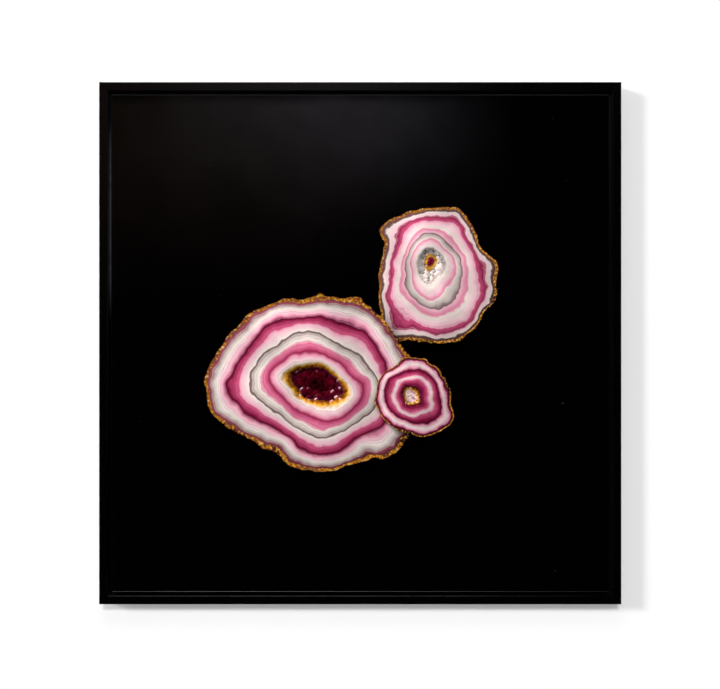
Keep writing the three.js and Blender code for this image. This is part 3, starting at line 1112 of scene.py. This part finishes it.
@dataclass
class PictureBlock:
    """The clear face, the print and the board that they are bonded to."""

    nodes: Mapping[str, Object]
    scrape: float = 0.35 * MM

    def build(self) -> None:
        """Makes the clear face and finishes the layers behind it."""
        self.clear_face()
        finishes = {
            "print_sheet": PrintedDesign().make(),
            "panel_front_skin": RolledAluminium().make(),
            "panel_core": SawnCore().make(),
        }
        finishes["panel_back_skin"] = finishes["panel_front_skin"]
        for node, material in finishes.items():
            dress(self.nodes[node], material)
            LOG.info("%s: %s", node, material.name)

    def clear_face(self) -> None:
        """Makes the clear sheet, with bevelled arrises, sawn above and below, polished at the sides."""
        low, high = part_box("acrylic_face")
        body = bmesh.new()
        bmesh.ops.create_cube(body, size=1.0)
        for vertex in body.verts:
            sides = zip(vertex.co, low, high, strict=True)
            vertex.co = Vector(far if side > 0 else near for side, near, far in sides)
        front = [e for e in body.edges if all(abs(v.co.y - low.y) < self.scrape for v in e.verts)]
        bmesh.ops.bevel(body, geom=front, offset=self.scrape, segments=1, affect="EDGES")
        bmesh.ops.recalc_face_normals(body, faces=body.faces)
        for face in body.faces:
            face.material_index = self.kind_of(face.normal).value
        mesh = bpy.data.meshes.new("clear_face")
        body.to_mesh(mesh)
        body.free()
        sheet = linked("clear_face", mesh)
        finishes = {
            SheetFace.FRONT: ClearAcrylic(),
            SheetFace.POLISHED: AcrylicEdge("polished acrylic edge", (0.05, 0.14)),
            SheetFace.SAWN: AcrylicEdge("sawn acrylic edge", (0.6, 0.9)),
            SheetFace.SCRAPED: ScrapedArris(),
            SheetFace.BACK: BondedAcrylic(),
        }
        dress(sheet, *(finishes[kind].make() for kind in SheetFace))
        hand_over(sheet, "frame", ["acrylic_face"])

    @staticmethod
    def kind_of(normal: Vector) -> SheetFace:
        """Tells the kind of a face of the sheet from the way that it points.

        Args:
            normal: the face's normal.

        Returns:
            The kind.
        """
        mostly = 0.6
        if normal.y > mostly:
            return SheetFace.BACK
        if normal.y < -mostly:
            return SheetFace.SCRAPED if normal.z < -mostly else SheetFace.FRONT
        return SheetFace.POLISHED if abs(normal.x) > abs(normal.z) else SheetFace.SAWN


@dataclass(frozen=True)
class Screws:
    """Screws of one kind, made by Geometry Nodes."""

    head: Head
    head_radius: float
    head_height: float
    shank_radius: float
    length: float
    tip_length: float
    recess_width: float = 0.9 * MM
    recess_reach: float = 0.55
    recess_depth: float = 1.3 * MM
    segments: int = 32

    def drive(
        self, name: str, stands_for: Sequence[str], facing: Facing, spin: float, steel: Material
    ) -> None:
        """Sets a screw in the place of each packed one.

        Args:
            name: the piece's name.
            stands_for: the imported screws.
            facing: which way the heads face.
            spin: how far each screw is turned from the one before it.
            steel: the screws' material.
        """
        places = [self.seat(node, facing, i * spin) for i, node in enumerate(stands_for)]
        mesh = mesh_of(f"{name}_places", [place for place, _ in places])
        turns = mesh.attributes.new("turn", "FLOAT_VECTOR", "POINT")
        for row, (_, turn) in zip(turns.data, places, strict=True):
            row.vector = turn
        hand_over(self.tree().grow(name, mesh, steel), "frame", stands_for)

    def seat(self, node: str, facing: Facing, turn: float) -> tuple[Vector, Point]:
        """Finds the seat of a packed screw.

        Args:
            node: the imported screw.
            facing: which way its head faces.
            turn: how far it is turned about its own axis.

        Returns:
            Where the screw's origin goes, and its turns about X, Y and Z.
        """
        low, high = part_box(node)
        x, y, z = (low + high) / 2
        if facing is Facing.WALL:
            proud = 0.0 if self.head is Head.COUNTERSUNK else self.head_height
            return Vector((x, high.y - proud, z)), (-math.pi / 2, turn, 0.0)
        if z > 0:
            return Vector((x, y, high.z)), (0.0, 0.0, turn)
        return Vector((x, y, low.z)), (math.pi, 0.0, turn)

    def tree(self) -> GeometryWriter:
        """Writes the tree: a turned screw with a cross recess, set on every point.

        Returns:
            The tree's writer.
        """
        sizes = {
            "Head radius": self.head_radius,
            "Head height": self.head_height,
            "Shank radius": self.shank_radius,
            "Length": self.length,
            "Tip length": self.tip_length,
            "Recess width": self.recess_width,
            "Recess reach": self.recess_reach * self.head_radius,
            "Recess depth": self.recess_depth,
            "Segments": self.segments,
        }
        w = GeometryWriter(f"{self.head.name.lower()} screws", sizes)
        inputs = {"Mesh 1": self.turned(w), "Mesh 2": self.recess(w)}
        cut = w.out("GeometryNodeMeshBoolean", inputs, operation="DIFFERENCE", solver="EXACT")
        turn = w.out("GeometryNodeInputNamedAttribute", {"Name": "turn"}, data_type="FLOAT_VECTOR")
        rotation = w.out("FunctionNodeEulerToRotation", {0: turn})
        inputs = {"Points": w.inputs["Places"], "Instance": w.smooth(cut, 30), "Rotation": rotation}
        w.finish(w.out("GeometryNodeInstanceOnPoints", inputs))
        return w

    def turned(self, w: GeometryWriter) -> Socket:
        """Turns the screw: a disc at the root of the head, drawn out to the crown and to the tip.

        Args:
            w: the tree's writer.

        Returns:
            The screw, with its shank along -Z and the top of a countersunk head, or the underside of a
            pan head, at the origin.
        """
        inset = self.head is Head.COUNTERSUNK
        disc_share, blunt = 0.1, 0.04
        shank, height = w.inputs["Shank radius"], w.inputs["Head height"]
        start = {"Vertices": w.inputs["Segments"], "Radius": shank, "Depth": w.times(height, disc_share)}
        disc = w.node("GeometryNodeMeshCylinder", start, fill_type="NGON").outputs
        mesh, up, down = disc["Mesh"], disc["Top"], disc["Bottom"]
        widening = w.math("DIVIDE", w.inputs["Head radius"], shank)
        shares = [widening, *(upper / lower for (lower, _), (upper, _) in pairwise(self.head.value))]
        for (_, rise), share in zip(self.head.value, shares, strict=True):
            mesh, up = w.drawn(mesh, up, w.times(height, rise), share)
        length = w.minus(w.inputs["Length"], w.inputs["Tip length"])
        mesh, down = w.drawn(mesh, down, w.minus(length, height) if inset else length, 1.0)
        mesh, down = w.drawn(mesh, down, w.inputs["Tip length"], blunt)
        offset = w.joined(z=w.times(height, disc_share / 2 - 1 if inset else -disc_share / 2))
        return w.out("GeometryNodeTransform", {"Geometry": mesh, "Translation": offset})

    def recess(self, w: GeometryWriter) -> Socket:
        """Makes the cross that is cut out of the head, from two bars.

        Args:
            w: the tree's writer.

        Returns:
            The cross.
        """
        width, reach, depth = (w.inputs[f"Recess {size}"] for size in ("width", "reach", "depth"))
        size = w.joined(w.times(reach, 2.0), width, w.times(depth, 2.0))
        bar = w.node("GeometryNodeMeshCube", {"Size": size}).outputs["Mesh"]
        quarter_turn = (0.0, 0.0, math.pi / 2)
        crossed = w.out("GeometryNodeTransform", {"Geometry": bar, "Rotation": quarter_turn})
        both = w.node("GeometryNodeMeshBoolean", {"Mesh 2": bar}, operation="UNION", solver="EXACT")
        w.tree.links.new(crossed, both.inputs["Mesh 2"])
        top = (0.0, 0.0, 0.0 if self.head is Head.COUNTERSUNK else self.head_height)
        return w.out("GeometryNodeTransform", {"Geometry": both.outputs[0], "Translation": top})


@dataclass
class Fasteners:
    """The screws that hold the picture in the frame and the subframe together, and the mitre wedges."""

    nodes: Mapping[str, Object]
    steel: Material
    ledge: Screws = Screws(
        Head.COUNTERSUNK,
        head_radius=4 * MM,
        head_height=2.5 * MM,
        shank_radius=1.9 * MM,
        length=18 * MM,
        tip_length=3 * MM,
    )
    corner: Screws = Screws(
        Head.COUNTERSUNK,
        head_radius=4.2 * MM,
        head_height=2.7 * MM,
        shank_radius=2 * MM,
        length=52 * MM,
        tip_length=4 * MM,
    )
    spin: float = math.radians(37)

    def build(self) -> None:
        """Sets the screws and finishes the wedges."""
        in_ledge = [f"frame_screw_{rail}_{i}" for rail in RAILS for i in (1, 2)]
        in_corners = [f"subframe_screw_{corner}" for corner in CORNERS]
        self.ledge.drive("ledge_screws", in_ledge, Facing.WALL, self.spin, self.steel)
        self.corner.drive("corner_screws", in_corners, Facing.OUTWARD, self.spin, self.steel)
        for corner in CORNERS:
            for kind in ("outer", "inner"):
                dress(self.nodes[f"v_nail_{kind}_{corner}"], self.steel)
        LOG.info("mitre wedges: %s", self.steel.name)


@dataclass(frozen=True)
class WireRing:
    """A D-ring of bent wire, which hangs from its straight top."""

    wire_radius: float = 1.5 * MM
    half_width: float = 9.5 * MM
    corner_radius: float = 3 * MM
    seam: float = 0.4 * MM
    drop: float = 19 * MM
    bend_steps: int = 12
    sides: int = 20

    def outline(self, axis: Vector) -> Mesh:
        """Draws the corners of the wire's centreline, each with the radius of its bend.

        Args:
            axis: the middle of the ring's straight top, on the hinge's axis.

        Returns:
            An open chain of points.
        """
        wide, start, tight = self.half_width, self.seam / 2, self.corner_radius
        round_end = wide - 0.001 * MM
        corners = [
            (start, 0.0, 0.0),
            (wide, 0.0, tight),
            (wide, -self.drop, round_end),
            (-wide, -self.drop, round_end),
            (-wide, 0.0, tight),
            (-start, 0.0, 0.0),
        ]
        points = [axis + Vector((x, 0.0, z)) for x, z, _ in corners]
        mesh = mesh_of("ring outline", points, list(pairwise(range(len(points)))))
        bends = mesh.attributes.new("bend", "FLOAT", "POINT")
        bends.data.foreach_set("value", [bend for _, _, bend in corners])
        return mesh

    def tree(self) -> GeometryWriter:
        """Writes the tree that bends a wire round the corners of an outline.

        Returns:
            The tree's writer.
        """
        sizes = {"Wire radius": self.wire_radius, "Bend steps": self.bend_steps, "Sides": self.sides}
        w = GeometryWriter("bent wire", sizes)
        chain = w.out("GeometryNodeMeshToCurve", {"Mesh": w.inputs["Places"]})
        bend = w.out("GeometryNodeInputNamedAttribute", {"Name": "bend"}, data_type="FLOAT")
        inputs = {"Curve": chain, "Count": w.inputs["Bend steps"], "Radius": bend, "Limit Radius": True}
        bent = w.out("GeometryNodeFilletCurve", inputs, mode="POLY")
        circle = {"Resolution": w.inputs["Sides"], "Radius": w.inputs["Wire radius"]}
        section = w.out("GeometryNodeCurvePrimitiveCircle", circle, mode="RADIUS")
        inputs = {"Curve": bent, "Profile Curve": section, "Fill Caps": True}
        w.finish(w.smooth(w.out("GeometryNodeCurveToMesh", inputs), 50))
        return w


@dataclass
class Hangers:
    """The two D-ring hangers: strap, screws and swinging ring."""

    nodes: Mapping[str, Object]
    steel: Material
    screw_steel: Material
    ring: WireRing = WireRing()
    screw: Screws = Screws(
        Head.PAN,
        head_radius=3.5 * MM,
        head_height=2 * MM,
        shank_radius=1.5 * MM,
        length=8 * MM,
        tip_length=2 * MM,
        recess_depth=1.2 * MM,
    )
    easing: float = 0.12 * MM
    spin: float = math.radians(23)

    def build(self) -> None:
        """Makes the straps, the rings and their screws."""
        for side in SIDES:
            node = f"hanger_strap_{side}"
            strap = merged_copy(self.nodes[node], f"hanger_plate_{side}")
            ease(strap, self.easing)
            dress(strap, self.steel)
            hand_over(strap, "frame", [node])
        tree = self.ring.tree()
        for side in SIDES:
            node = f"d_ring_{side}"
            low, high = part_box(node)
            x, y, _ = (low + high) / 2
            outline = self.ring.outline(Vector((x, y, high.z - self.ring.wire_radius)))
            ring = tree.grow(f"ring_wire_{side}", outline, self.steel)
            hand_over(ring, f"ring_{side}", [node])
        names = [f"hanger_screw_{side}_{i}" for side in SIDES for i in (1, 2)]
        self.screw.drive("strap_screws", names, Facing.WALL, self.spin, self.screw_steel)


@dataclass
class WallPads:
    """The four felt pads on the frame's back edge."""

    radius: float = 5 * MM
    thickness: float = 2 * MM
    rounding: float = 0.35 * MM
    fuzz: float = 0.12 * MM
    seed: int = 5

    def build(self) -> None:
        """Makes the pads."""
        names = [f"wall_pad_{corner}" for corner in CORNERS]
        middles = [(low + high) / 2 for low, high in map(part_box, names)]
        pads = self.tree().grow("felt_pads", mesh_of("pad places", middles), PressedFelt().make())
        hand_over(pads, "frame", names)

    def tree(self) -> GeometryWriter:
        """Writes the tree: a disc with soft rims on every point, roughened by its fibres.

        Returns:
            The tree's writer.
        """
        sizes = {
            "Radius": self.radius,
            "Thickness": self.thickness,
            "Rounding": self.rounding,
            "Fuzz": self.fuzz,
            "Seed": self.seed,
        }
        w = GeometryWriter("felt pads", sizes)
        radius, rounding = w.inputs["Radius"], w.inputs["Rounding"]
        core = w.minus(w.inputs["Thickness"], w.times(rounding, 2.0))
        steps = {"Vertices": 40, "Side Segments": 4, "Fill Segments": 6}
        start = {**steps, "Radius": radius, "Depth": core}
        disc = w.node("GeometryNodeMeshCylinder", start, fill_type="TRIANGLE_FAN").outputs
        share = w.math("DIVIDE", w.minus(radius, rounding), radius)
        mesh: Socket = disc["Mesh"]
        for end in ("Top", "Bottom"):
            mesh, _ = w.drawn(mesh, disc[end], rounding, share, each=False)
        facing = (math.pi / 2, 0.0, 0.0)
        turned = w.out("GeometryNodeTransform", {"Geometry": mesh, "Rotation": facing})
        inputs = {"Points": w.inputs["Places"], "Instance": turned}
        pads = w.out("GeometryNodeInstanceOnPoints", inputs)
        real = w.out("GeometryNodeRealizeInstances", {"Geometry": pads})
        random = w.node("FunctionNodeRandomValue", {"Seed": w.inputs["Seed"]}, data_type="FLOAT")
        for name, value in {"Min": -1.0, "Max": 0.0}.items():
            w.feed(next(s for s in random.inputs if s.name == name and s.enabled), value)
        lift = w.times(next(s for s in random.outputs if s.enabled), w.inputs["Fuzz"])
        along = w.scaled(w.out("GeometryNodeInputNormal"), lift)
        rough = w.out("GeometryNodeSetPosition", {"Geometry": real, "Offset": along})
        w.finish(w.smooth(rough, 75))
        return w


# ---- Studio ----


@dataclass(frozen=True)
class Sun:
    """An even light, with its width in degrees."""

    name: str
    strength: float
    place: Point
    width: float
    gloss: bool


@dataclass(frozen=True)
class Window:
    """A window above the camera, which shows in the gloss alone, or lights all but that."""

    name: str
    power: float
    width: float
    place: Point
    gloss: bool
    height: float = 1.0


@dataclass(frozen=True)
class Card:
    """A softly edged glowing card: its centre, and from there to its right and its top edge."""

    name: str
    middle: Point
    right: Point
    up: Point
    strength: float


@dataclass(frozen=True)
class RoomView:
    """The dim view of a room that shows in the upper left of the clear face, warm at its left end."""

    middle: Point = (-0.4, -2.62, 0.5)
    right: Point = (1.4, 0.0, 0.0)
    up: Point = (0.0, 0.0, 0.6)
    cool: Colour = (0.475, 0.455, 0.54)
    warm: Colour = (0.125, 0.076, 0.050)
    cool_left: Pair = (-0.95, -0.12)
    cool_right: Pair = (-0.02, 0.54)
    cool_rise: Pair = (0.2, 0.87)
    pane: Pair = (-0.34, -0.14)
    warm_right: Pair = (-0.4, 0.4)
    warm_rise: Pair = (0.05, 0.85)
    beam_height: float = 0.825
    beam_edge: Pair = (0.015, 0.06)
    above_beam: Pair = (0.82, 0.88)
    above_fade: Pair = (-0.25, 0.35)

    def make(self) -> Material:
        """Returns the material."""
        w = ShaderWriter("room card")
        place = w.place()
        bent = w.parts(w.vector("ADD", place, w.drift(place, scale=2.2, detail=2.0, reach=0.16)))
        x, z = bent["X"], bent["Z"]
        left = w.span(x, *self.cool_left, soft=True)
        right = w.span(x, *self.cool_right, FALL, soft=True)
        pane = w.span(x, *self.pane, (0.7, 1.0), soft=True)
        rise = w.math("POWER", w.span(z, *self.cool_rise, soft=True), 1.6)
        cool = w.scaled(self.cool, w.times(left, right, pane, rise))
        warm_right = w.span(x, *self.warm_right, FALL, soft=True)
        warm = w.scaled(self.warm, w.times(warm_right, w.span(z, *self.warm_rise, soft=True)))
        height = w.parts(place)["Z"]
        from_beam = w.math("ABSOLUTE", w.minus(height, self.beam_height))
        beam = w.span(from_beam, *self.beam_edge, (0.3, 1.0), soft=True)
        above = w.times(w.span(height, *self.above_beam), w.span(x, *self.above_fade, (0.0, 0.75)))
        cloud = w.span(w.noise(place, scale=7, detail=4, roughness=0.6), *NOISE, (0.82, 1.18))
        glow = w.scaled(w.vector("ADD", cool, warm), w.times(beam, w.minus(1.0, above), cloud))
        return w.finish(w.out("ShaderNodeEmission", {"Color": glow, "Strength": 1.0}))


@dataclass
class Studio:
    """The camera, the pale wall and floor, light from above and the left, and cards for the gloss."""

    lens: float = 80.0
    sensor: float = 36.0
    camera_place: Point = (-0.36 * MM, -2.6128, -2.1 * MM)
    wall_gap: float = 0.5 * MM
    wall_width: float = 8.0
    wall_height: float = 4.0
    floor_height: float = -1.0
    floor_depth: float = 4.0
    surroundings: float = 0.06
    suns: tuple[Sun, ...] = (
        Sun("front light", 1.06, (0.0, -1.0, 0.0), 1.0, False),
        Sun("upper light", 1.26, (-0.02, -1.0, 0.39), 7.0, False),
        Sun("left light", 1.5, (-1.17, -1.0, 0.4), 12.0, False),
        Sun("back light", 2.2, (-0.5, 1.0, 0.7), 50.0, True),
        Sun("low back light", 0.8, (0.9, 1.0, 0.2), 40.0, True),
    )
    windows: tuple[Window, ...] = (
        Window("window", 17.0, 1.8, (-0.35, -2.6, 2.4), False),
        Window("bright window", 42.0, 1.6, (-0.3, -2.6, 2.4), True),
    )
    room: RoomView = RoomView()
    cards: tuple[Card, ...] = (
        Card("low card", (-0.35, -2.2, -2.5), (0.9, 0.0, 0.0), (0.0, 0.0, 0.6), 2.0),
        Card("left card", (-1.75, -1.35, -0.5), (0.5, -0.5, 0.0), (0.0, 0.0, 0.5), 0.8),
        Card("right card", (4.0, -0.5, 0.5), (0.0, 1.4, 0.0), (0.0, 0.0, 1.2), 0.9),
        Card("back card", (2.2, 2.4, -0.6), (-0.9, 0.9, 0.0), (0.0, 0.0, 1.3), 1.6),
        Card("far card", (-0.4, 3.4, 0.3), (-2.4, 0.0, 0.0), (0.0, 0.0, 1.6), 0.7),
    )

    def build(self) -> None:
        """Sets everything up."""
        self.camera()
        self.world()
        self.wall()
        self.floor()
        for sun in self.suns:
            data = self.lamp(sun.name, "SUN", sun.strength, sun.place, sun.gloss)
            data.angle = math.radians(sun.width)
        for window in self.windows:
            data = self.lamp(window.name, "AREA", window.power, window.place, window.gloss)
            data.shape = "RECTANGLE"
            data.size = window.width
            data.size_y = window.height
            bpy.data.objects[window.name].visible_diffuse = not window.gloss
        room = self.panel("room card", self.room.middle, self.room.right, self.room.up)
        dress(room, self.room.make())
        self.gloss_only(room)
        for card in self.cards:
            self.card(card)
        bpy.context.scene.view_settings.view_transform = "Standard"

    def camera(self) -> None:
        """Puts the camera straight in front of the picture."""
        data = bpy.data.cameras.new("camera")
        data.lens = self.lens
        data.sensor_width = self.sensor
        camera = bpy.data.objects.new("camera", data)
        camera.location = self.camera_place
        camera.rotation_euler = (math.pi / 2, 0.0, 0.0)
        bpy.context.scene.collection.objects.link(camera)
        bpy.context.scene.camera = camera

    def world(self) -> None:
        """Makes the surroundings white to look at, dim as a light and dark in the gloss."""
        world = bpy.data.worlds.new("studio")
        world.use_nodes = True
        w = NodeWriter(world.node_tree)
        rays = w.node("ShaderNodeLightPath").outputs
        strength = w.plus(rays["Is Camera Ray"], w.times(rays["Is Diffuse Ray"], self.surroundings))
        background = w.out("ShaderNodeBackground", {"Color": (1.0, 1.0, 1.0), "Strength": strength})
        w.node("ShaderNodeOutputWorld", {"Surface": background})
        bpy.context.scene.world = world

    def wall(self) -> None:
        """Makes the wall behind the picture, which can be seen through from behind."""
        middle = (0.0, self.wall_gap, self.floor_height + self.wall_height / 2)
        right, up = (self.wall_width / 2, 0.0, 0.0), (0.0, 0.0, self.wall_height / 2)
        wall = self.panel("wall", middle, right, up)
        w = ShaderWriter("wall paint")
        tone = w.noise(w.place(), scale=1.4, detail=2)
        paint = w.bsdf("Diffuse", Color=w.mix(tone, linear("f1f1f1"), linear("f3f3f3")))
        behind = w.node("ShaderNodeNewGeometry").outputs["Backfacing"]
        dress(wall, w.finish(w.blend(behind, paint, w.bsdf("Transparent"))))
        self.seen_only(wall)

    def floor(self) -> None:
        """Makes the floor, out of the main view."""
        middle = (0.0, -self.floor_depth / 2, self.floor_height)
        right, back = (self.wall_width / 2, 0.0, 0.0), (0.0, self.floor_depth / 2, 0.0)
        floor = self.panel("floor", middle, right, back)
        w = ShaderWriter("floor paint")
        tone = w.noise(w.place(), scale=2.0, detail=3)
        colour = w.mix(tone, linear("e9e8e6"), linear("efeeec"))
        dress(floor, w.finish(w.bsdf("Principled", Base_Color=colour, Roughness=0.7)))
        self.seen_only(floor)

    def card(self, card: Card) -> None:
        """Adds a glowing card.

        Args:
            card: the card's sizes and strength.
        """
        panel = self.panel(card.name, card.middle, card.right, card.up)
        w = ShaderWriter(card.name)
        offset = w.vector("SUBTRACT", w.place(), card.middle)
        sides = [Vector(side) / Vector(side).length_squared for side in (card.right, card.up)]
        shares = [w.vector("DOT_PRODUCT", offset, tuple(side)) for side in sides]
        distance = w.vector("LENGTH", w.joined(*shares))
        cloud = w.noise(w.place(), scale=1.6, detail=3)
        edge = w.plus(distance, w.span(cloud, *NOISE, (-0.2, 0.2)))
        glow = w.times(w.span(edge, 0.1, 1.0, FALL, soft=True), card.strength)
        tone = w.mix(w.span(cloud, *NOISE), linear("fff1e2"), linear("eef3ff"))
        dress(panel, w.finish(w.out("ShaderNodeEmission", {"Color": tone, "Strength": glow})))
        self.gloss_only(panel)

    @staticmethod
    def panel(name: str, middle: Point, right: Point, up: Point) -> Object:
        """Makes a flat stage piece.

        Args:
            name: its name.
            middle: its centre.
            right: from the centre to its right edge.
            up: from the centre to its top edge; its face points along right x up.

        Returns:
            The stage piece.
        """
        centre, across, along = Vector(middle), Vector(right), Vector(up)
        low, high = centre - along, centre + along
        corners = [low - across, low + across, high + across, high - across]
        panel = linked(name, mesh_of(name, corners, faces=[(0, 1, 2, 3)]))
        return panel

    @staticmethod
    def lamp(name: str, kind: str, energy: float, place: Point, gloss: bool) -> bpy.types.Light:
        """Adds a lamp that faces the picture.

        Args:
            name: its name.
            kind: SUN or AREA.
            energy: its strength.
            place: where it is.
            gloss: whether it shows in the gloss.

        Returns:
            The lamp's data.
        """
        data = bpy.data.lights.new(name, kind)
        data.energy = energy
        lamp = bpy.data.objects.new(name, data)
        lamp.location = place
        lamp.rotation_euler = (-Vector(place)).to_track_quat("-Z", "Y").to_euler()
        lamp.visible_camera = False
        lamp.visible_glossy = gloss
        bpy.context.scene.collection.objects.link(lamp)
        return data

    @staticmethod
    def seen_only(surface: Object) -> None:
        """Keeps a surface out of the gloss, the bounced light and the shadows.

        Args:
            surface: the surface, which the camera still sees.
        """
        surface.visible_glossy = False
        surface.visible_diffuse = False
        surface.visible_shadow = False

    @staticmethod
    def gloss_only(card: Object) -> None:
        """Keeps a card out of everything but the gloss.

        Args:
            card: the card.
        """
        card.visible_camera = False
        card.visible_diffuse = False
        card.visible_shadow = False


def main() -> None:
    """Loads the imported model, finishes its pieces and sets up the studio."""
    logging.basicConfig(level=logging.INFO, format="%(message)s")
    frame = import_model()
    nodes = frame["nodes"]
    zinc = PlatedSteel("bright zinc", linear("d3d7db"), linear("a6abb0"), (0.22, 0.4)).make()
    nickel = PlatedSteel("nickel plate", linear("dcd8d0"), linear("b9b4aa"), (0.14, 0.3)).make()
    Studio().build()
    TimberFrame(nodes).build()
    PictureBlock(nodes).build()
    Subframe(nodes).build()
    Fasteners(nodes, zinc).build()
    Hangers(nodes, nickel, zinc).build()
    WallPads().build()


if __name__ == "__main__":
    main()
